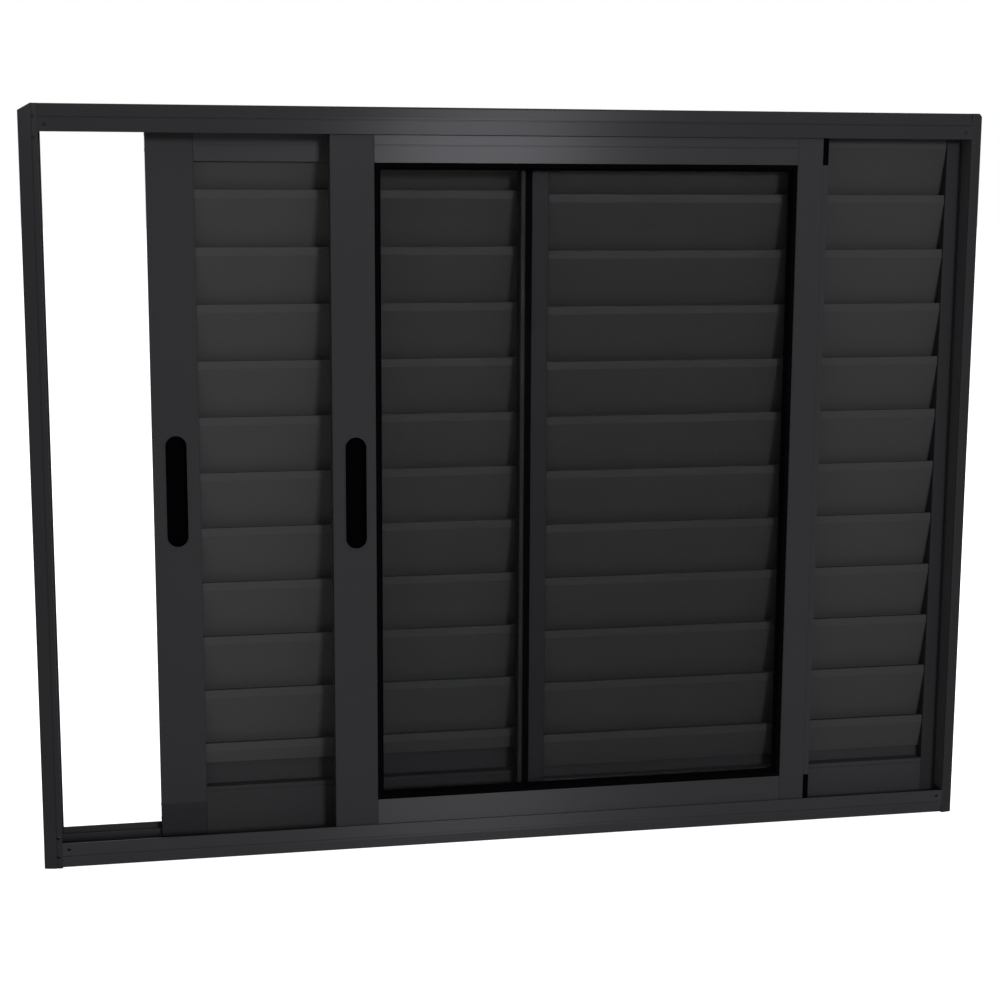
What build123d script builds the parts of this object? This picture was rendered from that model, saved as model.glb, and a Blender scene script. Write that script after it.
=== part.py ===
from build123d import *
import os

# A three-track sliding window of thin-walled aluminium extrusions. The fixed right half is a
# louvred panel. A louvred leaf behind it and a glass leaf in front of it slide over the left half.
# X runs to the right as seen from the room, Y out through the wall and Z up. The origin is the
# middle of the sill's underside. All sizes are in millimetres.

# Outer frame
frame_width = 1290.0
frame_height = 1000.0
track_pitch = 26.0
frame_wall = 2.0
face_margin = 3.0
left_jamb_face = 24.0
right_jamb_face = 16.0
head_face = 35.0
head_back_lip = 29.0
sill_face = 34.0
sill_back_lip = 29.0
lean_width = 14.0
outer_lean = 2.5
outer_radius = 3.0
left_clip_width = 16.0
left_clip_height = 9.0
right_clip = 5.0
face_line_inset = 16.0
face_line_width = 1.6
face_line_depth = 0.8
rib_wall = 1.6
jamb_rib = 18.0
head_rib = 27.0
guide_fin = 23.0
sill_floor = 12.0
rail_height = 12.0
rail_round = 0.7
floor_wall = 1.5
drain_place = 430.0
drain_length = 30.0
drain_width = 5.0
fit = 0.3

# Leaves
leaf_thickness = 22.0
leaf_wall = 1.4
leaf_edge_radius = 1.2
leaf_stop_gap = 4.0
leaf_rise = 3.0
leaf_drop = 10.0
top_channel = 22.0
bottom_channel = 36.0
fin_slot = 7.0
top_line_drop = 36.0
louvre_slid_open = 150.0
louvre_handle_width = 62.0
louvre_meeting_width = 38.0
louvre_top_height = 58.0
louvre_bottom_height = 68.0
louvre_line_inset = 5.0
glass_slid_open = 384.0
glass_handle_width = 58.0
glass_meeting_width = 44.0
glass_top_height = 59.0
glass_bottom_height = 53.0

# Fixed half
mullion_left = 3.0
mullion_lip = 6.0
mullion_groove = 9.5
mullion_body = 22.5
mullion_groove_depth = 9.0
pile_set_back = 1.5
fixed_end_width = 35.0
fixed_top_height = 33.7
fixed_bottom_height = 62.0

# Louvre blades
blade_pitch = 75.0
blade_sheet = 1.3
blade_reach = 16.5
blade_brow = 11.0
blade_hook = 5.5
blade_hook_drop = 7.0
blade_height = 82.0
blade_drip = 6.0
blade_entry = 6.0
louvre_first_drop = 94.5
louvre_last_drop = 28.5
fixed_last_drop = 48.7
least_top_blade = 25.0
least_bottom_gap = 10.0
closer_overlap = 10.0
closer_set_back = 5.0

# Pull slots
pull_inset = 31.0
pull_width = 28.0
pull_length = 150.0
pull_height = 495.0
cup_wall = 1.2
cup_depth = 15.0

# Glazing
glass_thickness = 4.0
glass_pocket = 10.0
glass_bite = 8.0
gasket_sight = 9.0
gasket_slope = 25.0
gasket_grip = 4.0
setting_block_length = 80.0

# Rollers and guides
wheel_radius = 11.5
wheel_groove = 2.0
wheel_width = 8.0
wheel_inset = 95.0
axle_radius = 2.5
carriage_length = 54.0
carriage_wall = 1.6
guide_length = 40.0
guide_inset = 102.0
guide_slot = 2.8

# Interlock strip and its end blocks
interlock_lip = 8.0
end_block_length = 37.0
end_block_overhang = 1.0
end_block_set_back = 3.0

# Values that follow from the sizes above
frame_depth = 3 * track_pitch + 2 * face_margin
half_width = frame_width / 2
half_depth = frame_depth / 2
glass_track = -track_pitch
fixed_track = 0.0
louvre_track = track_pitch
rail_top = sill_floor + rail_height
leaf_low = sill_floor + leaf_rise
leaf_high = frame_height - frame_wall - leaf_drop
fixed_low = sill_floor + fit
fixed_high = frame_height - frame_wall - fit
inner_right = half_width - frame_wall
half_leaf = leaf_thickness / 2
louvre_first_nose = leaf_high - louvre_first_drop
fixed_first_nose = fixed_high - fixed_top_height
mullion_width = mullion_lip + mullion_groove + mullion_body
closed_left = leaf_stop_gap - inner_right
leaf_width = mullion_left + mullion_width - closed_left
louvre_leaf_left = closed_left + louvre_slid_open
glass_leaf_left = closed_left + glass_slid_open
lean_front = outer_lean - half_depth
jambs = (("jamb_left", -1, left_jamb_face), ("jamb_right", 1, right_jamb_face))
across_jamb = Plane(origin=(0, 0, 0), x_dir=(0, 1, 0), z_dir=(0, 0, -1))


def wall(low_u, high_u, low_v, high_v, mode=Mode.ADD):
    """One straight wall or chamber of a profile, between two corners."""
    with Locations(((low_u + high_u) / 2, (low_v + high_v) / 2)):
        Rectangle(abs(high_u - low_u), abs(high_v - low_v), mode=mode)


def save(part, name):
    part.label = name
    export_step(part, f"parts/{name}.step")


def frame_section(section, edge, inward, front_lip, back_lip):
    """Web and lips of a frame member, from its outer edge inward. The front lip's outer strip leans
    back, and a line runs beside it where the lip has room."""
    front = -half_depth
    bend = edge + inward * lean_width
    tip = edge + inward * front_lip
    wall(lean_front, half_depth, edge, edge + inward * frame_wall)
    with BuildLine() as lip:
        Polyline((lean_front, edge), (front, bend), (front, tip), (front + frame_wall, tip),
                 (front + frame_wall, bend), (lean_front + frame_wall, edge), close=True)
    make_face(lip.edges())
    fillet(section.vertices().sort_by_distance((lean_front, edge))[0], outer_radius)
    wall(half_depth - frame_wall, half_depth, edge, edge + inward * back_lip)
    if front_lip > face_line_inset + face_line_width:
        line = edge + inward * face_line_inset
        wall(front, front + face_line_depth, line, line + inward * face_line_width, Mode.SUBTRACT)


def clear_for_jambs(front_lip, back_lip, edge, inward):
    """Cuts the lips of the head or sill away where the jambs' faces run past them."""
    for name, side, face in jambs:
        for lip_side, depth, lip in ((-1, outer_lean + frame_wall, front_lip), (1, frame_wall, back_lip)):
            with Locations((side * (half_width - face / 2), lip_side * (half_depth - depth / 2),
                            edge + inward * lip / 2)):
                Box(face, depth, lip, mode=Mode.SUBTRACT)


def clip_corners():
    """Takes the top corners of the frame off at a slant."""
    for side, width, height in ((-1, left_clip_width, left_clip_height), (1, right_clip, right_clip)):
        with BuildSketch(Plane.XZ.offset(half_depth)) as corner:
            with BuildLine():
                Polyline((side * half_width, frame_height - height), (side * half_width, frame_height),
                         (side * (half_width - width), frame_height), close=True)
            make_face()
        extrude(corner.sketch, amount=-frame_depth, mode=Mode.SUBTRACT)


os.makedirs("parts", exist_ok=True)

# Head: an inverted channel with a divider between tracks and a guide fin over each sliding leaf
with BuildPart() as head_track:
    with BuildSketch(Plane.YZ.offset(-inner_right)) as section:
        frame_section(section, frame_height, -1, head_face, head_back_lip)
        for divider in (glass_track / 2, louvre_track / 2):
            wall(divider - rib_wall / 2, divider + rib_wall / 2, frame_height - head_rib, frame_height)
        for track in (glass_track, louvre_track):
            wall(track - rib_wall / 2, track + rib_wall / 2, frame_height - guide_fin, frame_height)
    extrude(amount=2 * inner_right)
    clear_for_jambs(head_face, head_back_lip, frame_height, -1)
    clip_corners()
save(head_track.part, "head_track")

# Sill: a hollow floor with a round-topped rail under each sliding leaf. Drain slots lead from the
# outside track through the floor and out through the back.
with BuildPart() as sill_track:
    with BuildSketch(Plane.YZ.offset(-inner_right)) as section:
        frame_section(section, 0, 1, sill_face, sill_back_lip)
        wall(lean_front + frame_wall, half_depth, frame_wall, sill_floor)
        for low, high in ((lean_front + frame_wall, glass_track / 2 - rib_wall / 2),
                          (glass_track / 2 + rib_wall / 2, louvre_track / 2 - rib_wall / 2),
                          (louvre_track / 2 + rib_wall / 2, half_depth - frame_wall)):
            wall(low, high, frame_wall, sill_floor - floor_wall, Mode.SUBTRACT)
        for track in (glass_track, louvre_track):
            wall(track - rib_wall / 2, track + rib_wall / 2, sill_floor - floor_wall, rail_top)
        crowns = section.vertices().filter_by_position(Axis.Y, rail_top - fit, rail_top + fit)
        fillet(crowns, rail_round)
    extrude(amount=2 * inner_right)
    clear_for_jambs(sill_face, sill_back_lip, 0, 1)
    for plane, row, cut in ((Plane.XZ.offset(-half_depth), sill_floor / 2, frame_wall),
                            (Plane.XY.offset(sill_floor), (louvre_track + half_depth) / 2, -floor_wall)):
        with BuildSketch(plane):
            with Locations((-drain_place, row), (drain_place, row)):
                SlotOverall(drain_length, drain_width)
        extrude(amount=cut, mode=Mode.SUBTRACT)
save(sill_track.part, "sill_track")

# Jambs: full-height channels whose ribs stand between the tracks. The right one's face is narrow and
# has no line.
for name, side, face in jambs:
    with BuildPart() as jamb:
        with BuildSketch(across_jamb) as section:
            frame_section(section, side * half_width, -side, face, face)
        extrude(amount=-frame_height)
        with BuildSketch(Plane.XY.offset(sill_floor + fit)):
            for divider in (glass_track / 2, louvre_track / 2):
                wall(side * half_width, side * (half_width - jamb_rib), divider - rib_wall / 2,
                     divider + rib_wall / 2)
        extrude(amount=frame_height - head_rib - sill_floor - 2 * fit)
        clip_corners()
    save(jamb.part, name)


def stile(left, width, track, low, high, pocket=0):
    """A full-height hollow side member. A pocket for the glass opens to the right or the left."""
    inner = half_leaf - leaf_wall
    chamber_left = left + leaf_wall + (glass_pocket if pocket < 0 else 0)
    chamber_right = left + width - leaf_wall - (glass_pocket if pocket > 0 else 0)
    with BuildSketch(Plane.XY.offset(low)) as section:
        wall(left, left + width, track - half_leaf, track + half_leaf)
        fillet(section.vertices(), leaf_edge_radius)
        wall(chamber_left, chamber_right, track - inner, track + inner, Mode.SUBTRACT)
        if pocket > 0:
            wall(left + width - glass_pocket, left + width, track - inner, track + inner, Mode.SUBTRACT)
        if pocket < 0:
            wall(left, left + glass_pocket, track - inner, track + inner, Mode.SUBTRACT)
    extrude(section.sketch, amount=high - low)


def clear_tracks(left, width, track):
    """Slots at the top and bottom of a sliding stile, where it passes the guide fin and the rail."""
    fin_low = frame_height - guide_fin - leaf_rise
    rail_high = rail_top + leaf_rise
    for low, high in ((fin_low, leaf_high), (leaf_low, rail_high)):
        with Locations((left + width / 2, track, (low + high) / 2)):
            Box(width, fin_slot, high - low, mode=Mode.SUBTRACT)


def pull_slot(left, track):
    """The long round-ended slot through the room face of a handle stile."""
    with BuildSketch(Plane.XZ.offset(half_leaf - track)) as slot:
        with Locations((left + pull_inset, pull_height)):
            SlotOverall(pull_length, pull_width, rotation=90)
    extrude(slot.sketch, amount=-leaf_wall, mode=Mode.SUBTRACT)


def pull_cup(left, track):
    """The moulded cup that lines the slot from inside the stile."""
    for rim, depth, mode in ((cup_wall, cup_depth, Mode.ADD), (0, cup_depth - cup_wall, Mode.SUBTRACT)):
        with BuildSketch(Plane.XZ.offset(half_leaf - leaf_wall - track)) as mouth:
            with Locations((left + pull_inset, pull_height)):
                SlotOverall(pull_length + 2 * rim, pull_width + 2 * rim, rotation=90)
        extrude(mouth.sketch, amount=-depth, mode=mode)


def blade_field(track, first_nose, last_drop, rail_high, high):
    """Heights of a panel's blade noses and of the field they fill. The blades run down at their pitch
    for as long as the last one, cut at its drop, stays clear of the bottom rail. The space that is
    left under it varies, and the closer fills it."""
    rows = int((first_nose - last_drop - rail_high - least_bottom_gap) / blade_pitch)
    noses = [first_nose - row * blade_pitch for row in range(rows + 1)]
    low = noses[-1] - last_drop
    if first_nose + blade_pitch - blade_height < high - least_top_blade:
        noses.append(first_nose + blade_pitch)
    return track, noses, low, high


def blade_sections(track, noses, low, high, grow=0.0):
    """All blades of a panel, cut to the field between two heights, as faces in the YZ plane."""
    front = track - blade_reach / 2
    back = track + blade_reach / 2
    with BuildSketch() as one:
        with BuildLine():
            Polyline((front + blade_hook, -blade_hook_drop), (front + blade_hook, 0), (front, 0),
                     (front, -blade_brow), (back, blade_drip - blade_height), (back, -blade_height))
            offset(amount=blade_sheet, side=Side.RIGHT, kind=Kind.INTERSECTION)
        make_face()
        if grow:
            offset(amount=grow, kind=Kind.INTERSECTION)
    with BuildSketch() as blades:
        with Locations(*[(0, nose) for nose in noses]):
            add(one.sketch)
        with Locations((track, (low + high) / 2)):
            Rectangle(leaf_thickness, high - low + 2 * grow, mode=Mode.INTERSECT)
    return blades.sketch


def blade_slots(at, track, noses, low, high):
    """Slanted slots through a stile's inner wall, one for the end of each blade."""
    with BuildSketch(Plane.YZ.offset(at)) as slots:
        add(blade_sections(track, noses, low, high, fit))
    extrude(slots.sketch, amount=leaf_wall, mode=Mode.SUBTRACT)


def blades_between(left, right, track, noses, low, high):
    with BuildSketch(Plane.YZ.offset(left - blade_entry)) as blades:
        add(blade_sections(track, noses, low, high))
    extrude(blades.sketch, amount=right - left + 2 * blade_entry)


def rail(left, right, track, low, high, channel_top=0.0, channel_bottom=0.0, line=0.0, pocket=0):
    """A hollow cross member with an open channel for the fin or the rollers, and a face line."""
    inner = half_leaf - leaf_wall
    chamber_low = low + leaf_wall + channel_bottom + (glass_pocket if pocket < 0 else 0)
    chamber_high = high - leaf_wall - channel_top - (glass_pocket if pocket > 0 else 0)
    with BuildSketch(Plane.YZ.offset(left)) as section:
        wall(track - half_leaf, track + half_leaf, low, high)
        wall(track - inner, track + inner, chamber_low, chamber_high, Mode.SUBTRACT)
        if channel_top:
            wall(track - inner, track + inner, high - channel_top, high, Mode.SUBTRACT)
        if channel_bottom:
            wall(track - inner, track + inner, low, low + channel_bottom, Mode.SUBTRACT)
        if pocket > 0:
            wall(track - inner, track + inner, high - glass_pocket, high, Mode.SUBTRACT)
        if pocket < 0:
            wall(track - inner, track + inner, low, low + glass_pocket, Mode.SUBTRACT)
        if line:
            wall(track - half_leaf, track - half_leaf + face_line_depth, line - face_line_width, line,
                 Mode.SUBTRACT)
    extrude(section.sketch, amount=right - left)


def closer(left, right, rail_high, track, noses, field_low, field_high):
    """An angle on the back of the bottom rail that closes the space under the last blade."""
    back = track + half_leaf
    with BuildSketch(Plane.YZ.offset(left)) as angle:
        wall(track + closer_set_back, back - leaf_wall, rail_high, rail_high + blade_sheet)
        wall(track + closer_set_back, track + closer_set_back + blade_sheet, rail_high,
             field_low + closer_overlap)
    extrude(angle.sketch, amount=right - left)


def wheel_places(left):
    return (left + wheel_inset, left + leaf_width - wheel_inset)


def wheels(left, track):
    """Grooved wheels that stand on the sill's rail."""
    centre_height = rail_top + fit + wheel_radius - wheel_groove
    half = wheel_width / 2
    for place in wheel_places(left):
        with BuildSketch(Plane.XY.offset(centre_height)) as section:
            with BuildLine():
                Polyline((place + axle_radius + fit / 2, track - half), (place + wheel_radius, track - half),
                         (place + wheel_radius - wheel_groove, track - rib_wall / 2),
                         (place + wheel_radius - wheel_groove, track + rib_wall / 2),
                         (place + wheel_radius, track + half), (place + axle_radius + fit / 2, track + half),
                         close=True)
            make_face()
        revolve(section.sketch, axis=Axis((place, track, centre_height), (0, 1, 0)))


def carriages(left, track):
    """Inverted channels in the bottom rail, each with its wheel's axle riveted across."""
    centre_height = rail_top + fit + wheel_radius - wheel_groove
    top = leaf_low + bottom_channel - fit
    low = rail_top + leaf_rise
    outer = half_leaf - leaf_wall - fit
    for place in wheel_places(left):
        with BuildSketch(Plane.YZ.offset(place - carriage_length / 2)) as section:
            wall(track - outer, track + outer, low, top)
            wall(track - outer + carriage_wall, track + outer - carriage_wall, low, top - carriage_wall,
                 Mode.SUBTRACT)
        extrude(section.sketch, amount=carriage_length)
        with Locations(Location((place, track, centre_height), (90, 0, 0))):
            Cylinder(axle_radius, 2 * outer)


def guides(left, track):
    """Slotted blocks in the top rail's channel that run along the guide fin."""
    low = leaf_high - top_channel
    outer = half_leaf - leaf_wall - fit
    slot_low = frame_height - guide_fin - leaf_rise
    for place in (left + guide_inset, left + leaf_width - guide_inset):
        with Locations((place, track, (low + leaf_high) / 2)):
            Box(guide_length, 2 * outer, leaf_high - low)
        with Locations((place, track, (slot_low + leaf_high) / 2)):
            Box(guide_length, guide_slot, leaf_high - slot_low, mode=Mode.SUBTRACT)


# Louvred leaf, on the outside track
louvre_inner_left = louvre_leaf_left + louvre_handle_width
louvre_inner_right = louvre_leaf_left + leaf_width - louvre_meeting_width
louvre_rail_high = leaf_low + louvre_bottom_height
louvre_rail_low = leaf_high - louvre_top_height
louvre_field = blade_field(louvre_track, louvre_first_nose, louvre_last_drop, louvre_rail_high,
                           louvre_rail_low)

with BuildPart() as louvre_handle_stile:
    stile(louvre_leaf_left, louvre_handle_width, louvre_track, leaf_low, leaf_high)
    clear_tracks(louvre_leaf_left, louvre_handle_width, louvre_track)
    pull_slot(louvre_leaf_left, louvre_track)
    blade_slots(louvre_inner_left - leaf_wall, *louvre_field)
save(louvre_handle_stile.part, "louvre_handle_stile")

with BuildPart() as louvre_meeting_stile:
    stile(louvre_inner_right, louvre_meeting_width, louvre_track, leaf_low, leaf_high)
    clear_tracks(louvre_inner_right, louvre_meeting_width, louvre_track)
    blade_slots(louvre_inner_right, *louvre_field)
save(louvre_meeting_stile.part, "louvre_meeting_stile")

with BuildPart() as louvre_top_rail:
    rail(louvre_inner_left, louvre_inner_right, louvre_track, louvre_rail_low, leaf_high,
         channel_top=top_channel, line=leaf_high - top_line_drop)
save(louvre_top_rail.part, "louvre_top_rail")

with BuildPart() as louvre_bottom_rail:
    rail(louvre_inner_left, louvre_inner_right, louvre_track, leaf_low, louvre_rail_high,
         channel_bottom=bottom_channel, line=louvre_rail_high - louvre_line_inset)
save(louvre_bottom_rail.part, "louvre_bottom_rail")

with BuildPart() as louvre_blades:
    blades_between(louvre_inner_left, louvre_inner_right, *louvre_field)
save(louvre_blades.part, "louvre_blades")

with BuildPart() as louvre_closer:
    closer(louvre_inner_left, louvre_inner_right, louvre_rail_high, *louvre_field)
save(louvre_closer.part, "louvre_closer")

with BuildPart() as louvre_pull_cup:
    pull_cup(louvre_leaf_left, louvre_track)
save(louvre_pull_cup.part, "louvre_pull_cup")

with BuildPart() as louvre_wheels:
    wheels(louvre_leaf_left, louvre_track)
save(louvre_wheels.part, "louvre_wheels")

with BuildPart() as louvre_carriages:
    carriages(louvre_leaf_left, louvre_track)
save(louvre_carriages.part, "louvre_carriages")

with BuildPart() as louvre_guides:
    guides(louvre_leaf_left, louvre_track)
save(louvre_guides.part, "louvre_guides")

# Fixed louvred half, on the middle track
fixed_left = mullion_left + mullion_width
fixed_right = inner_right - fit - fixed_end_width
fixed_rail_high = fixed_low + fixed_bottom_height
fixed_rail_low = fixed_high - fixed_top_height
fixed_field = blade_field(fixed_track, fixed_first_nose, fixed_last_drop, fixed_rail_high,
                          fixed_rail_low)

groove_left = mullion_left + mullion_lip
groove_middle = groove_left + mullion_groove / 2
groove_floor = mullion_groove_depth - half_leaf

with BuildPart() as centre_mullion:
    stile(mullion_left, mullion_width, fixed_track, fixed_low, fixed_high)
    with BuildSketch(Plane.XY.offset(fixed_low)):
        wall(groove_left - leaf_wall, groove_left + mullion_groove + leaf_wall, -half_leaf,
             groove_floor + leaf_wall)
        wall(groove_left, groove_left + mullion_groove, -half_leaf, groove_floor, Mode.SUBTRACT)
    extrude(amount=fixed_high - fixed_low)
    with Locations((groove_middle, groove_floor / 2 - half_leaf / 2, (fixed_low + fixed_high) / 2)):
        Box(mullion_groove, mullion_groove_depth, fixed_high - fixed_low, mode=Mode.SUBTRACT)
    blade_slots(fixed_left - leaf_wall, *fixed_field)
save(centre_mullion.part, "centre_mullion")

with BuildPart() as mullion_pile:
    with BuildSketch(Plane.XY.offset(fixed_low)):
        wall(groove_left, groove_left + mullion_groove, pile_set_back - half_leaf, groove_floor)
    extrude(amount=fixed_high - fixed_low)
save(mullion_pile.part, "mullion_pile")

with BuildPart() as fixed_end_stile:
    stile(fixed_right, fixed_end_width, fixed_track, fixed_low, fixed_high)
    blade_slots(fixed_right, *fixed_field)
save(fixed_end_stile.part, "fixed_end_stile")

with BuildPart() as fixed_top_rail:
    rail(fixed_left, fixed_right, fixed_track, fixed_rail_low, fixed_high)
save(fixed_top_rail.part, "fixed_top_rail")

with BuildPart() as fixed_bottom_rail:
    rail(fixed_left, fixed_right, fixed_track, fixed_low, fixed_rail_high,
         line=fixed_rail_high - louvre_line_inset)
save(fixed_bottom_rail.part, "fixed_bottom_rail")

with BuildPart() as fixed_blades:
    blades_between(fixed_left, fixed_right, *fixed_field)
save(fixed_blades.part, "fixed_blades")

with BuildPart() as fixed_closer:
    closer(fixed_left, fixed_right, fixed_rail_high, *fixed_field)
save(fixed_closer.part, "fixed_closer")

# Glass leaf, on the room track
glass_inner_left = glass_leaf_left + glass_handle_width
glass_box_right = glass_leaf_left + leaf_width - interlock_lip
glass_box_width = glass_meeting_width - interlock_lip
glass_inner_right = glass_box_right - glass_box_width
glass_sight_low = leaf_low + glass_bottom_height
glass_sight_high = leaf_high - glass_top_height

with BuildPart() as glass_handle_stile:
    stile(glass_leaf_left, glass_handle_width, glass_track, leaf_low, leaf_high, pocket=1)
    clear_tracks(glass_leaf_left, glass_handle_width, glass_track)
    pull_slot(glass_leaf_left, glass_track)
save(glass_handle_stile.part, "glass_handle_stile")

with BuildPart() as glass_meeting_stile:
    stile(glass_inner_right, glass_box_width, glass_track, leaf_low, leaf_high, pocket=-1)
    clear_tracks(glass_inner_right, glass_box_width, glass_track)
save(glass_meeting_stile.part, "glass_meeting_stile")

with BuildPart() as glass_top_rail:
    rail(glass_inner_left, glass_inner_right, glass_track, glass_sight_high, leaf_high,
         channel_top=top_channel, line=leaf_high - top_line_drop, pocket=-1)
save(glass_top_rail.part, "glass_top_rail")

with BuildPart() as glass_bottom_rail:
    rail(glass_inner_left, glass_inner_right, glass_track, leaf_low, glass_sight_low,
         channel_bottom=bottom_channel, pocket=1)
save(glass_bottom_rail.part, "glass_bottom_rail")

with BuildPart() as glass_pane:
    with BuildSketch(Plane.XZ.offset(-glass_track - glass_thickness / 2)):
        wall(glass_inner_left - glass_bite, glass_inner_right + glass_bite,
             glass_sight_low - glass_bite, glass_sight_high + glass_bite)
    extrude(amount=glass_thickness)
save(glass_pane.part, "glass_pane")

with BuildPart() as setting_blocks:
    sight_width = glass_inner_right - glass_inner_left
    pocket_clear = glass_pocket - glass_bite
    with Locations((glass_inner_left + sight_width / 4, glass_track, glass_sight_low - glass_pocket),
                   (glass_inner_right - sight_width / 4, glass_track, glass_sight_low - glass_pocket)):
        Box(setting_block_length, glass_thickness, pocket_clear,
            align=(Align.CENTER, Align.CENTER, Align.MIN))
save(setting_blocks.part, "setting_blocks")

# Gaskets: one ring on each face of the glass, its visible rim sloping down to the glass
gasket_depth = half_leaf - leaf_wall - glass_thickness / 2
for name, away in (("gasket_room_side", 1), ("gasket_outside", -1)):
    with BuildPart() as gasket:
        with BuildSketch(Plane.XZ.offset(away * glass_thickness / 2 - glass_track)):
            wall(glass_inner_left - gasket_grip, glass_inner_right + gasket_grip,
                 glass_sight_low - gasket_grip, glass_sight_high + gasket_grip)
        extrude(amount=away * gasket_depth)
        with BuildSketch(Plane.XZ.offset(away * glass_thickness / 2 - glass_track)):
            wall(glass_inner_left + gasket_sight, glass_inner_right - gasket_sight,
                 glass_sight_low + gasket_sight, glass_sight_high - gasket_sight)
        extrude(amount=away * gasket_depth, taper=-gasket_slope, mode=Mode.SUBTRACT)
    save(gasket.part, name)

lip_front = glass_track - half_leaf + leaf_edge_radius
hook_back = glass_track + half_leaf

with BuildPart() as glass_interlock:
    with BuildSketch(Plane.XY.offset(glass_sight_low)):
        wall(glass_box_right, glass_box_right + leaf_wall, lip_front, hook_back)
        wall(glass_box_right, glass_box_right + interlock_lip, lip_front, lip_front + leaf_wall)
        wall(glass_box_right, glass_box_right + interlock_lip, hook_back - leaf_wall, hook_back)
    extrude(amount=glass_sight_high - glass_sight_low)
save(glass_interlock.part, "glass_interlock")

with BuildPart() as interlock_blocks:
    for block_low in (glass_sight_low - end_block_length, glass_sight_high):
        with BuildSketch(Plane.XY.offset(block_low)):
            wall(glass_box_right, glass_box_right + interlock_lip + end_block_overhang,
                 lip_front + end_block_set_back, hook_back)
        extrude(amount=end_block_length)
save(interlock_blocks.part, "interlock_blocks")

with BuildPart() as glass_pull_cup:
    pull_cup(glass_leaf_left, glass_track)
save(glass_pull_cup.part, "glass_pull_cup")

with BuildPart() as glass_wheels:
    wheels(glass_leaf_left, glass_track)
save(glass_wheels.part, "glass_wheels")

with BuildPart() as glass_carriages:
    carriages(glass_leaf_left, glass_track)
save(glass_carriages.part, "glass_carriages")

with BuildPart() as glass_guides:
    guides(glass_leaf_left, glass_track)
save(glass_guides.part, "glass_guides")
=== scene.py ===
import math
import bpy
import bmesh
from mathutils import Matrix, Quaternion, Vector


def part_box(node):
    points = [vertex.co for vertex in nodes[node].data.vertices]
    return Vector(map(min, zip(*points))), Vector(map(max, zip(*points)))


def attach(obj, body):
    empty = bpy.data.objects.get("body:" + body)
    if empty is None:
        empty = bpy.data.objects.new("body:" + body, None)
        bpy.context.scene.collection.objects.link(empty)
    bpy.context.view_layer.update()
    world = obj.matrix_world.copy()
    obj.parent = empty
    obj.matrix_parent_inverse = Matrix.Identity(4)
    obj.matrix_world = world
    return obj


# Dresses a louvred sliding window: black powder-coated extrusions, louvre blades and one glass leaf.
# X runs right as seen from the room, Y out through the wall, Z up. The scene is in metres, and the
# small pieces are built in millimetres.

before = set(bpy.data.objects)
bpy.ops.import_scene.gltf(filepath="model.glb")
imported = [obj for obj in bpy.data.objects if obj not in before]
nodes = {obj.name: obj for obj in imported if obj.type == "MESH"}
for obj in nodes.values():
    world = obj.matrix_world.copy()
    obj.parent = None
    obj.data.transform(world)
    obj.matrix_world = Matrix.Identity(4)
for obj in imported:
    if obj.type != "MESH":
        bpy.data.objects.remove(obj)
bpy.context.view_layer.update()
print("frame loaded:", len(nodes), "nodes")

mm = 0.001
scene = bpy.context.scene
scene.view_settings.view_transform = "Standard"


# Helpers shared by every piece and material

def hexColour(code):
    # sRGB hex to the linear values that sockets want
    channels = []
    for start in (0, 2, 4):
        value = int(code[start:start + 2], 16) / 255
        channels.append(value / 12.92 if value <= 0.04045 else ((value + 0.055) / 1.055) ** 2.4)
    return (*channels, 1.0)


def addNode(tree, kind, settings=None, links=None):
    # settings go to properties or input sockets, and links name an input and the output that feeds it.
    # A socket goes by its number where several share a name.
    node = tree.nodes.new(kind)
    for name, value in (settings or {}).items():
        if isinstance(name, str) and hasattr(node, name):
            setattr(node, name, value)
        else:
            node.inputs[name].default_value = value
    for name, source in (links or {}).items():
        tree.links.new(source, node.inputs[name])
    return node


def newMaterial(name):
    material = bpy.data.materials.new(name)
    material.use_nodes = True
    material.node_tree.nodes.clear()
    return material, material.node_tree


def finishMaterial(tree, shader):
    addNode(tree, "ShaderNodeOutputMaterial", {}, {"Surface": shader})


# Materials

coatLook = {
    "ior": 1.5,
    "peelSize": 2.2 * mm,  # a real peel of about 1 mm is too fine to show here, so it is drawn coarser
    "peelHeight": 0.01 * mm,
    "peelDetail": 1.0,
    "bumpStrength": 0.6,
    "cloudSize": 140 * mm,
    "cloudDetail": 3.0,
    "edgeSamples": 4,
}

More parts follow.
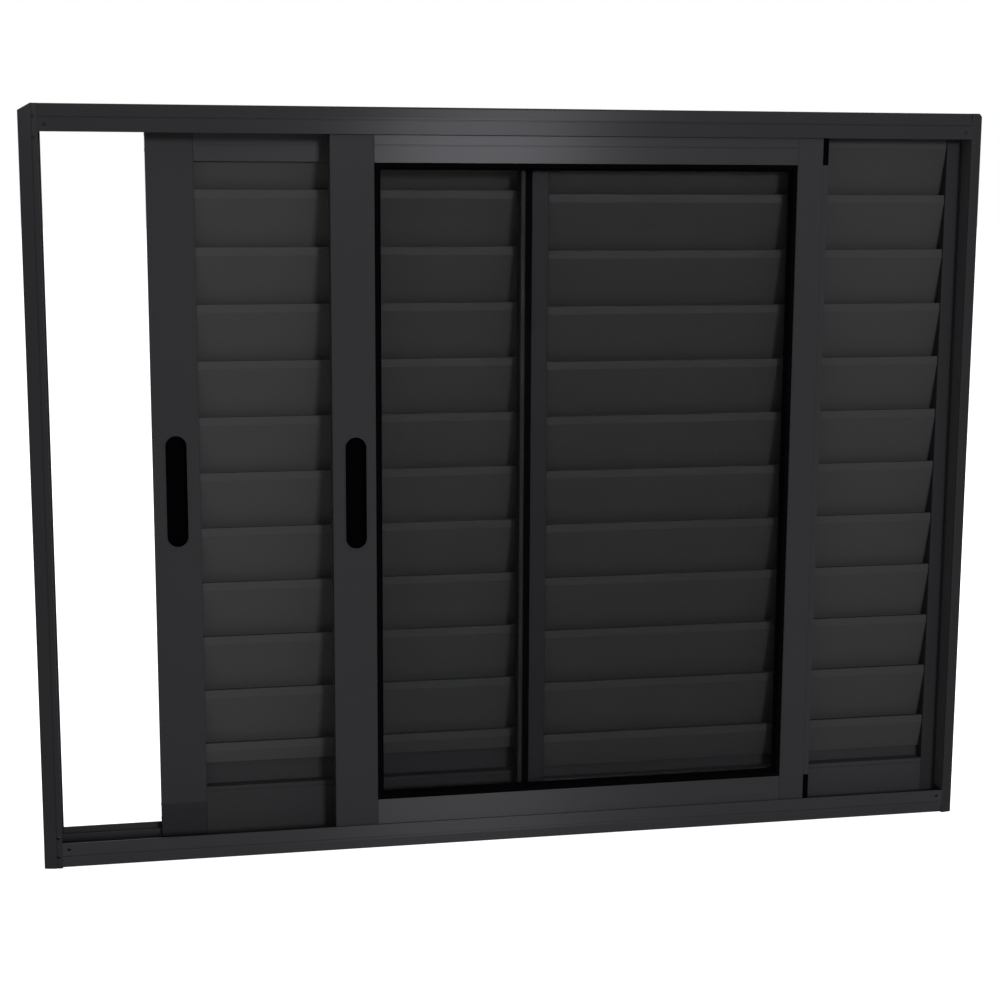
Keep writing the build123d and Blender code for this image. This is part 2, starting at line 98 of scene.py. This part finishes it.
# The coat is one black, but the blacks here are set part by part to how bright each part should look,
# which paints light and shade into it: some parts are painted darker as shade, the jambs among them, and
# some paler as light, the blades among them. Stretch is the direction in which the die lines draw out a
# highlight: across the profile. It leans a little off each axis, so that no face of a profile is square to
# it.
acrossRail = (0.04, 0.03, 1.0)
acrossStile = (1.0, 0.03, 0.04)
drawn = {"roughness": 0.29, "grain": 1.0, "sheen": 0.085, "edgeRadius": 0.5 * mm}
dull = {"roughness": 0.45, "grain": 0.0, "sheen": 0.03, "edgeRadius": 0.5 * mm}
rolled = {"roughness": 0.42, "grain": 0.0, "sheen": 0.03, "edgeRadius": 1.3 * mm}
coats = {
    "head": {"colour": "252526", "paler": "282829", "stretch": acrossRail, **drawn, "sheen": 0.07},
    "frameStiles": {"colour": "232324", "paler": "252526", "stretch": acrossStile, **drawn},
    "leafRails": {"colour": "2a2a2b", "paler": "2d2d2e", "stretch": acrossRail, **drawn},
    "leafStiles": {"colour": "29292a", "paler": "2b2b2c", "stretch": acrossStile, **drawn},
    # painted paler as light: the louvred leaf's top rail sits back in the head's shade
    "outerRails": {"colour": "303031", "paler": "333334", "stretch": acrossRail, **drawn},
    # painted darker as shade: the louvred leaf's bottom rail and the closers sit back under the blades
    "innerRails": {"colour": "272728", "paler": "2a2a2a", "stretch": acrossRail, **dull},
    # painted darker as shade: the end stile stands in the jamb's shade and the mullion behind the glass
    "innerStiles": {"colour": "212122", "paler": "232324", "stretch": acrossStile, **dull},
    # painted paler as light: the infill faces into the jamb's shade
    "jambInfill": {"colour": "363637", "paler": "39393a", "stretch": acrossStile, **dull},
    "leafBlades": {"colour": "323232", "paler": "353534", "stretch": acrossRail, **rolled},
    "fixedBlades": {"colour": "2e2e2e", "paler": "313130", "stretch": acrossRail, **rolled},
}


def makePowderCoat(name):
    # Aluminium with a baked satin black powder coat: an even black, a soft sheen along the extrusion
    # and a fine peel that shows in the highlights alone
    look, coat = coatLook, coats[name]
    material, tree = newMaterial("powderCoated" + name[0].upper() + name[1:])
    place = addNode(tree, "ShaderNodeTexCoord")
    cloud = addNode(tree, "ShaderNodeTexNoise",
                    {"Scale": 1 / look["cloudSize"], "Detail": look["cloudDetail"]},
                    {"Vector": place.outputs["Object"]})
    tone = addNode(tree, "ShaderNodeMix",
                   {"data_type": "RGBA", 6: hexColour(coat["colour"]), 7: hexColour(coat["paler"])},
                   {0: cloud.outputs["Fac"]})
    peel = addNode(tree, "ShaderNodeTexNoise",
                   {"Scale": 1 / look["peelSize"], "Detail": look["peelDetail"]},
                   {"Vector": place.outputs["Object"]})
    edge = addNode(tree, "ShaderNodeBevel", {"samples": look["edgeSamples"], "Radius": coat["edgeRadius"]})
    bump = addNode(tree, "ShaderNodeBump",
                   {"Strength": look["bumpStrength"], "Distance": look["peelHeight"]},
                   {"Height": peel.outputs["Fac"], "Normal": edge.outputs["Normal"]})
    across = addNode(tree, "ShaderNodeCombineXYZ", dict(zip("XYZ", coat["stretch"])))
    shader = addNode(tree, "ShaderNodeBsdfPrincipled",
                     {"Roughness": coat["roughness"], "IOR": look["ior"],
                      "Specular IOR Level": coat["sheen"], "Anisotropic": coat["grain"]},
                     {"Base Color": tone.outputs[2], "Normal": bump.outputs["Normal"],
                      "Tangent": across.outputs["Vector"]})
    finishMaterial(tree, shader.outputs["BSDF"])
    return material


glassLook = {"tint": "eeefef", "lampTint": "f4f5f5", "ior": 1.5, "roughness": 0.0, "shine": 0.3}


def makeFloatGlass():
    # Clear float glass: nearly invisible face on, and it lets the lamps through to the blades behind
    look = glassLook
    material, tree = newMaterial("floatGlass")
    path = addNode(tree, "ShaderNodeLightPath")
    glass = addNode(tree, "ShaderNodeBsdfPrincipled",
                    {"Base Color": hexColour(look["tint"]), "Roughness": look["roughness"],
                     "IOR": look["ior"], "Specular IOR Level": look["shine"],
                     "Transmission Weight": 1.0})
    clear = addNode(tree, "ShaderNodeBsdfTransparent", {"Color": hexColour(look["lampTint"])})
    light = addNode(tree, "ShaderNodeMath", {"operation": "MAXIMUM"},
                    {0: path.outputs["Is Shadow Ray"], 1: path.outputs["Is Diffuse Ray"]})
    mixed = addNode(tree, "ShaderNodeMixShader", {},
                    {"Fac": light.outputs["Value"], 1: glass.outputs["BSDF"], 2: clear.outputs["BSDF"]})
    finishMaterial(tree, mixed.outputs["Shader"])
    return material


def makePlain(name, colour, roughness, metallic=0.0, shine=0.5):
    # one even surface, for small parts
    material, tree = newMaterial(name)
    shader = addNode(tree, "ShaderNodeBsdfPrincipled",
                     {"Base Color": hexColour(colour), "Roughness": roughness, "Metallic": metallic,
                      "Specular IOR Level": shine})
    finishMaterial(tree, shader.outputs["BSDF"])
    return material


coating = {name: makePowderCoat(name) for name in coats}
floatGlass = makeFloatGlass()
rubber = makePlain("extrudedRubber", "040404", 0.7, shine=0.0)  # gaskets: a black line with no gleam
pile = makePlain("wovenPile", "060606", 0.9, shine=0.0)  # draught strips: matt, as cloth is
nylon = makePlain("mouldedNylon", "030304", 0.6, shine=0.0)  # pull cups and blocks: black recesses
paleNylon = makePlain("filledNylon", "202021", 0.5, shine=0.1)  # glass-filled feet: a greyer, flat black
acetal = makePlain("turnedAcetal", "cfcfc8", 0.4)  # wheels: milky white with a soft gleam
zinc = makePlain("zincPlatedSteel", "b8bcc0", 0.3, 1.0)  # pressed roller carriages: bright and bluish
blackZinc = makePlain("blackenedZincSteel", "1a1a1c", 0.4, 0.6)  # screw heads: black with a metal glint
print("materials made")

finishes = {
    coating["head"]: ("head_track",),
    coating["frameStiles"]: ("jamb_left", "jamb_right"),
    coating["leafRails"]: ("sill_track", "glass_top_rail", "glass_bottom_rail", "fixed_top_rail",
                           "fixed_bottom_rail"),
    coating["outerRails"]: ("louvre_top_rail",),
    coating["leafStiles"]: ("glass_handle_stile", "glass_meeting_stile", "glass_interlock",
                            "louvre_handle_stile", "louvre_meeting_stile"),
    coating["innerRails"]: ("louvre_bottom_rail", "louvre_closer", "fixed_closer"),
    coating["innerStiles"]: ("centre_mullion", "fixed_end_stile"),
    coating["leafBlades"]: ("louvre_blades",),
    coating["fixedBlades"]: ("fixed_blades",),
    floatGlass: ("glass_pane",),
    rubber: ("gasket_room_side", "gasket_outside", "setting_blocks"),
    pile: ("mullion_pile",),
    nylon: ("interlock_blocks", "glass_pull_cup", "louvre_pull_cup", "glass_guides", "louvre_guides"),
    acetal: ("glass_wheels", "louvre_wheels"),
    zinc: ("glass_carriages", "louvre_carriages"),
}
for material, names in finishes.items():
    for name in names:
        nodes[name].data.materials.clear()
        nodes[name].data.materials.append(material)
print("finishes on", sum(len(names) for names in finishes.values()), "nodes")


# Small pieces. Each is built where it sits, in millimetres, so its object stays at the origin.

def placeOf(name):
    # low and high corner of a CAD node in millimetres
    return [[value / mm for value in corner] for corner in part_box(name)]


def addPiece(name, shape, materials):
    bmesh.ops.recalc_face_normals(shape, faces=shape.faces[:])
    bmesh.ops.scale(shape, vec=(mm, mm, mm), verts=shape.verts[:])
    mesh = bpy.data.meshes.new(name)
    shape.to_mesh(mesh)
    shape.free()
    for material in materials:
        mesh.materials.append(material)
    piece = bpy.data.objects.new(name, mesh)
    scene.collection.objects.link(piece)
    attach(piece, "root")


frameLow, frameHigh = placeOf("jamb_left")[0], placeOf("jamb_right")[1]
seat = 0.02  # how far a piece keeps off the face that it sits on
roundingSegments = 2
turnedSteps = 20
mergeDistance = 0.001


def addBox(shape, low, high, rounding=0.0, index=0):
    made = bmesh.ops.create_cube(shape, size=1.0)["verts"]
    bmesh.ops.scale(shape, vec=[b - a for a, b in zip(low, high)], verts=made)
    bmesh.ops.translate(shape, vec=[(a + b) / 2 for a, b in zip(low, high)], verts=made)
    for face in {face for vert in made for face in vert.link_faces}:
        face.material_index = index
    if rounding:
        edges = {edge for vert in made for edge in vert.link_edges}
        bmesh.ops.bevel(shape, geom=list(edges), offset=rounding, segments=roundingSegments, profile=0.5,
                        affect="EDGES", material=-1)


def addTurned(shape, profile, place, facing):
    # a profile of radius and height, turned about the axis that points the way it faces
    verts = [shape.verts.new((radius, 0.0, height)) for radius, height in profile]
    edges = [shape.edges.new(pair) for pair in zip(verts, verts[1:])]
    before = set(shape.verts) - set(verts)
    bmesh.ops.spin(shape, geom=verts + edges, cent=(0, 0, 0), axis=(0, 0, 1), dvec=(0, 0, 0),
                   angle=2 * math.pi, steps=turnedSteps, use_merge=True)
    made = [vert for vert in shape.verts if vert not in before]
    bmesh.ops.remove_doubles(shape, verts=made, dist=mergeDistance)
    made = [vert for vert in shape.verts if vert not in before]
    turn = Vector(facing).to_track_quat("Z", "Y").to_matrix()
    bmesh.ops.rotate(shape, cent=(0, 0, 0), matrix=turn, verts=made)
    bmesh.ops.translate(shape, vec=place, verts=made)


screws = {
    "radius": 2.4,
    "rise": 0.4,
    "crown": 0.7,  # share of the radius that is flat
    "rim": 0.3,  # share of the rise that the edge has
    "recess": (1.4, 0.35, 0.05),  # half length, half width and half depth of each bar of the cross
    "sillHeight": 26.0,
    "headDrop": 26.0,
    "jambInset": 19.0,
    "jambHeights": (16.0, 42.0),
    "besideJamb": 33.0,
    "besideRightJamb": 25.0,
    "backInset": 8.0,
    "backHeight": 17.0,
    "leafHeights": (24.0, 44.0),
}


def addScrew(shape, place, facing):
    # a low countersunk head with a cross recess
    radius, rise = screws["radius"], screws["rise"]
    addTurned(shape, ((0.0, rise), (radius * screws["crown"], rise), (radius, rise * screws["rim"]),
                      (radius, seat), (0.0, seat)), place, facing)
    reach, half, depth = screws["recess"]
    top = Vector(place) + Vector(facing) * rise
    for along in [axis for axis in range(3) if not facing[axis]]:
        size = [depth if facing[axis] else half for axis in range(3)]
        size[along] = reach
        addBox(shape, [a - b for a, b in zip(top, size)], [a + b for a, b in zip(top, size)], index=1)


def makeCornerScrews():
    # Countersunk screws that pin the jambs to the head and the sill, on the room side and outside
    look = screws
    shape = bmesh.new()
    left, right = frameLow[0], frameHigh[0]
    front, back, top = frameLow[1], frameHigh[1], frameHigh[2]
    for height in (*look["jambHeights"], *[top - height for height in look["jambHeights"]]):
        addScrew(shape, (left + look["jambInset"], front, height), (0, -1, 0))
    for height in (look["sillHeight"], top - look["headDrop"]):
        addScrew(shape, (left + look["besideJamb"], front, height), (0, -1, 0))
        addScrew(shape, (right - look["besideRightJamb"], front, height), (0, -1, 0))
    for height in (look["backHeight"], top - look["backHeight"]):
        for across in (left + look["backInset"], right - look["backInset"]):
            addScrew(shape, (across, back, height), (0, 1, 0))
    addPiece("cornerScrews", shape, (blackZinc, nylon))


def makeLeafScrews():
    # Two screws through each stile into the end of each rail
    shape = bmesh.new()
    for name, end, facing in (("louvre_handle_stile", 0, -1), ("louvre_meeting_stile", 1, 1),
                              ("glass_handle_stile", 0, -1)):
        low, high = placeOf(name)
        across = (low, high)[end][0]
        middle = (low[1] + high[1]) / 2
        heights = screws["leafHeights"]
        for height in (*[low[2] + rise for rise in heights], *[high[2] - drop for drop in heights]):
            addScrew(shape, (across, middle, height), (facing, 0, 0))
    addPiece("leafScrews", shape, (blackZinc, nylon))


footLook = {"height": 47.0, "thickness": 1.0, "margin": 0.8, "rounding": 0.4}


def makeStileFeet():
    # Moulded plates over the feet of the louvred leaf's stiles, beside the rollers
    look = footLook
    shape = bmesh.new()
    for name in ("louvre_handle_stile", "louvre_meeting_stile"):
        low, high = placeOf(name)
        addBox(shape, (low[0] + look["margin"], low[1] - look["thickness"], low[2] + look["margin"]),
               (high[0] - look["margin"], low[1] - seat, low[2] + look["height"]), look["rounding"])
    addPiece("stileFeet", shape, (paleNylon,))


pileLook = {
    "thickness": 0.9,
    "width": 5.0,
    "headDrop": 20.0,
    "rib": 13.0,  # how far each divider's middle is from the frame's
    "ribFace": 0.8,
    "jambReach": 13.0,
    "low": 40.0,
    "high": 960.0,
    "endGap": 1.0,
}


def makeWeatherPile():
    # Woven pile along both faces of each divider between the tracks, in the head and up the jambs
    look = pileLook
    shape = bmesh.new()
    headLow, headHigh = placeOf("head_track")
    top = frameHigh[2] - look["headDrop"]
    for rib in (-look["rib"], look["rib"]):
        for side in (-1, 1):
            face = rib + side * (look["ribFace"] + seat)
            near, far = sorted((face, face + side * look["thickness"]))
            addBox(shape, (headLow[0] + look["endGap"], near, top - look["width"]),
                   (headHigh[0] - look["endGap"], far, top))
            for edge, inward in ((frameLow[0], 1), (frameHigh[0], -1)):
                if inward < 0 and face < -look["rib"]:
                    continue  # the infill covers this face of the right jamb
                ends = sorted((edge + inward * look["jambReach"],
                               edge + inward * (look["jambReach"] + look["width"])))
                addBox(shape, (ends[0], near, look["low"]), (ends[1], far, look["high"]))
    addPiece("weatherPile", shape, (pile,))


infillLook = {
    "face": 16.0,  # how far in from the frame's side it shows
    "thickness": 1.2,
    "front": -39.9,
    "back": -14.0,
}


def makeJambInfill():
    # The profile that snaps into the right jamb's room-side channel, which no leaf needs
    look = infillLook
    shape = bmesh.new()
    face = frameHigh[0] - look["face"]
    bottom, top = placeOf("sill_track")[1][2], placeOf("head_track")[0][2]
    addBox(shape, (face, look["front"], bottom + seat), (face + look["thickness"], look["back"], top - seat))
    # Its coat is painted paler than the frame's, as light on a face that stands in the jamb's shade
    addPiece("jambInfill", shape, (coating["jambInfill"],))


bufferLook = {
    "radius": 5.0,
    "length": 3.4,
    "crown": 0.7,  # share of the radius that is flat
    "shoulder": (0.9, 0.8),  # shares of the radius and the length
    "heights": (150.0, 850.0),
    "web": 2.0,
    "leftTracks": (-26.0, 26.0),
    "rightTracks": (26.0,),
}


def makeStopBuffers():
    # Rubber buffers on the jambs' webs, where the sliding leaves come to rest
    look = bufferLook
    shape = bmesh.new()
    radius, length = look["radius"], look["length"]
    shoulder = look["shoulder"]
    profile = ((0.0, length), (radius * look["crown"], length), (radius * shoulder[0], length * shoulder[1]),
               (radius, seat), (0.0, seat))
    for edge, inward, tracks in ((frameLow[0], 1, look["leftTracks"]),
                                 (frameHigh[0], -1, look["rightTracks"])):
        for track in tracks:
            for height in look["heights"]:
                addTurned(shape, profile, (edge + inward * look["web"], track, height), (inward, 0, 0))
    addPiece("stopBuffers", shape, (rubber,))


slotLook = {
    "inset": 31.0,
    "width": 28.0,
    "length": 150.0,
    "height": 495.0,
    "lap": 1.6,
    "thickness": 0.5,
    "segments": 48,
}


def makePullRims():
    # The thin rim of each pull cup, which laps over the stile's face around the slot
    look = slotLook
    shape = bmesh.new()
    half = (look["length"] - look["width"]) / 2
    for name in ("louvre_handle_stile", "glass_handle_stile"):
        low = placeOf(name)[0]
        before = set(shape.verts)
        face = bmesh.ops.create_circle(shape, cap_ends=True, segments=look["segments"],
                                       radius=look["width"] / 2 + look["lap"])["verts"][0].link_faces[0]
        bmesh.ops.rotate(shape, cent=(0, 0, 0), verts=face.verts,
                         matrix=Matrix.Rotation(math.pi / look["segments"], 3, "Z"))
        for vert in face.verts:
            vert.co.y += math.copysign(half, vert.co.y)
        bmesh.ops.inset_individual(shape, faces=[face], thickness=look["lap"], use_even_offset=True)
        bmesh.ops.delete(shape, geom=[face], context="FACES_ONLY")
        ring = [side for side in shape.faces if side.verts[0] not in before]
        lifted = bmesh.ops.extrude_face_region(shape, geom=ring)["geom"]
        bmesh.ops.translate(shape, vec=(0, 0, look["thickness"]),
                            verts=[item for item in lifted if isinstance(item, bmesh.types.BMVert)])
        made = [vert for vert in shape.verts if vert not in before]
        bmesh.ops.rotate(shape, cent=(0, 0, 0), matrix=Matrix.Rotation(math.pi / 2, 3, "X"), verts=made)
        bmesh.ops.translate(shape, vec=(low[0] + look["inset"], low[1] - seat, look["height"]), verts=made)
    addPiece("pullRims", shape, (coating["leafStiles"],))


makeCornerScrews()
makeLeafScrews()
makeStileFeet()
makeWeatherPile()
makeJambInfill()
makeStopBuffers()
makePullRims()
print("small pieces made")


# Stage, light and camera

stageLook = {
    "floor": "ececea",
    "floorSize": 30.0,
    "backdrop": "ffffff",
    "darkRoom": "0c0c0c",
    "glow": 0.8,  # what the floor's own shade lacks of white, as the eye sees it
    "fill": 0.68,  # soft light from all around
    "turn": 0.4,  # how far behind the window the mirrored room has turned from dark to white
}


def backHalf(tree, coordinate):
    # 0 in front of the window, 1 a little way behind it
    split = addNode(tree, "ShaderNodeSeparateXYZ", {}, {"Vector": coordinate})
    return addNode(tree, "ShaderNodeMapRange", {"From Min": 0.0, "From Max": stageLook["turn"]},
                   {"Value": split.outputs["Y"]}).outputs["Result"]


def backdropRays(tree, behind):
    # Which rays are mirrored or come through glass, and which rays meet the white backdrop: the eye's,
    # and the former where they go behind the window
    path = addNode(tree, "ShaderNodeLightPath")
    bent = addNode(tree, "ShaderNodeMath", {"operation": "ADD", "use_clamp": True},
                   {0: path.outputs["Is Glossy Ray"], 1: path.outputs["Is Transmission Ray"]})
    bentBehind = addNode(tree, "ShaderNodeMath", {"operation": "MULTIPLY"},
                         {0: bent.outputs["Value"], 1: behind})
    white = addNode(tree, "ShaderNodeMath", {"operation": "ADD", "use_clamp": True},
                    {0: bentBehind.outputs["Value"], 1: path.outputs["Is Camera Ray"]})
    return bent.outputs["Value"], white.outputs["Value"]


def makeFloor():
    # A pale studio floor that shows white and keeps the window's shadow. In front of the window, what is
    # mirrored of it or comes through the glass is dark, as the room there is.
    look = stageLook
    mesh = bpy.data.meshes.new("floor")
    shape = bmesh.new()
    bmesh.ops.create_grid(shape, x_segments=1, y_segments=1, size=look["floorSize"])
    shape.to_mesh(mesh)
    shape.free()
    floor = bpy.data.objects.new("floor", mesh)
    scene.collection.objects.link(floor)
    material, tree = newMaterial("paintedFloor")
    place = addNode(tree, "ShaderNodeTexCoord")
    bent, white = backdropRays(tree, backHalf(tree, place.outputs["Object"]))
    tone = addNode(tree, "ShaderNodeMix",
                   {"data_type": "RGBA", 6: hexColour(look["floor"]), 7: hexColour(look["darkRoom"])},
                   {0: bent})
    paint = addNode(tree, "ShaderNodeBsdfDiffuse", {}, {"Color": tone.outputs[2]})
    strength = addNode(tree, "ShaderNodeMath", {"operation": "MULTIPLY", 1: look["glow"]}, {0: white})
    glow = addNode(tree, "ShaderNodeEmission", {"Color": hexColour(look["backdrop"])},
                   {"Strength": strength.outputs["Value"]})
    both = addNode(tree, "ShaderNodeAddShader", {}, {0: paint.outputs["BSDF"], 1: glow.outputs["Emission"]})
    finishMaterial(tree, both.outputs["Shader"])
    mesh.materials.append(material)


def makeWorld():
    # Soft fill for the object, a white backdrop for the eye, and in front the dark room for what is
    # mirrored or comes through glass
    look = stageLook
    world = bpy.data.worlds.new("studio")
    scene.world = world
    world.use_nodes = True
    tree = world.node_tree
    tree.nodes.clear()
    place = addNode(tree, "ShaderNodeTexCoord")
    bent, white = backdropRays(tree, backHalf(tree, place.outputs["Generated"]))
    fill = addNode(tree, "ShaderNodeBackground",
                   {"Color": hexColour(look["backdrop"]), "Strength": look["fill"]})
    dark = addNode(tree, "ShaderNodeBackground", {"Color": hexColour(look["darkRoom"])})
    soft = addNode(tree, "ShaderNodeMixShader", {},
                   {"Fac": bent, 1: fill.outputs["Background"], 2: dark.outputs["Background"]})
    backdrop = addNode(tree, "ShaderNodeBackground", {"Color": hexColour(look["backdrop"]), "Strength": 1.0})
    mixed = addNode(tree, "ShaderNodeMixShader", {},
                    {"Fac": white, 1: soft.outputs["Shader"], 2: backdrop.outputs["Background"]})
    addNode(tree, "ShaderNodeOutputWorld", {}, {"Surface": mixed.outputs["Shader"]})


cameraPlace = {
    "position": (-0.5300, -2.5391, 0.9155),
    "forward": (0.19367, 0.96656, -0.16809),
    "roll": math.radians(0.28),
    "focalPixels": 1913.1,
    "photoWidth": 1000,
    "sensor": 36.0,
}


def makeCamera():
    place = cameraPlace
    data = bpy.data.cameras.new("camera")
    data.sensor_fit = "HORIZONTAL"
    data.sensor_width = place["sensor"]
    data.lens = place["sensor"] * place["focalPixels"] / place["photoWidth"]
    camera = bpy.data.objects.new("camera", data)
    scene.collection.objects.link(camera)
    turn = Vector(place["forward"]).to_track_quat("-Z", "Y") @ Quaternion((0, 0, 1), place["roll"])
    camera.matrix_world = Matrix.Translation(place["position"]) @ turn.to_matrix().to_4x4()
    scene.camera = camera


# The key softbox is far away, where the top rails mirror it into the camera. The other lamp lights
# the outside.
lamps = {
    "keySoftbox": {"place": (1.72, -9.0, 2.4), "aim": (0.0, 0.0, 0.5), "size": 1.15, "power": 530,
                   "colour": "f8f6ff"},
    "outsideSoftbox": {"place": (1.2, 3.6, 2.0), "aim": (0.0, 0.0, 0.5), "size": 2.0, "power": 60,
                       "colour": "ffffff"},
}


def makeLamps():
    for name, lamp in lamps.items():
        data = bpy.data.lights.new(name, "AREA")
        data.shape = "SQUARE"
        data.size = lamp["size"]
        data.energy = lamp["power"]
        data.color = hexColour(lamp["colour"])[:3]
        light = bpy.data.objects.new(name, data)
        scene.collection.objects.link(light)
        place = Matrix.Translation(lamp["place"])
        aim = Vector(lamp["aim"]) - Vector(lamp["place"])
        light.matrix_world = place @ aim.to_track_quat("-Z", "Y").to_matrix().to_4x4()


makeFloor()
makeWorld()
makeCamera()
makeLamps()
print("stage, camera and lamps made")
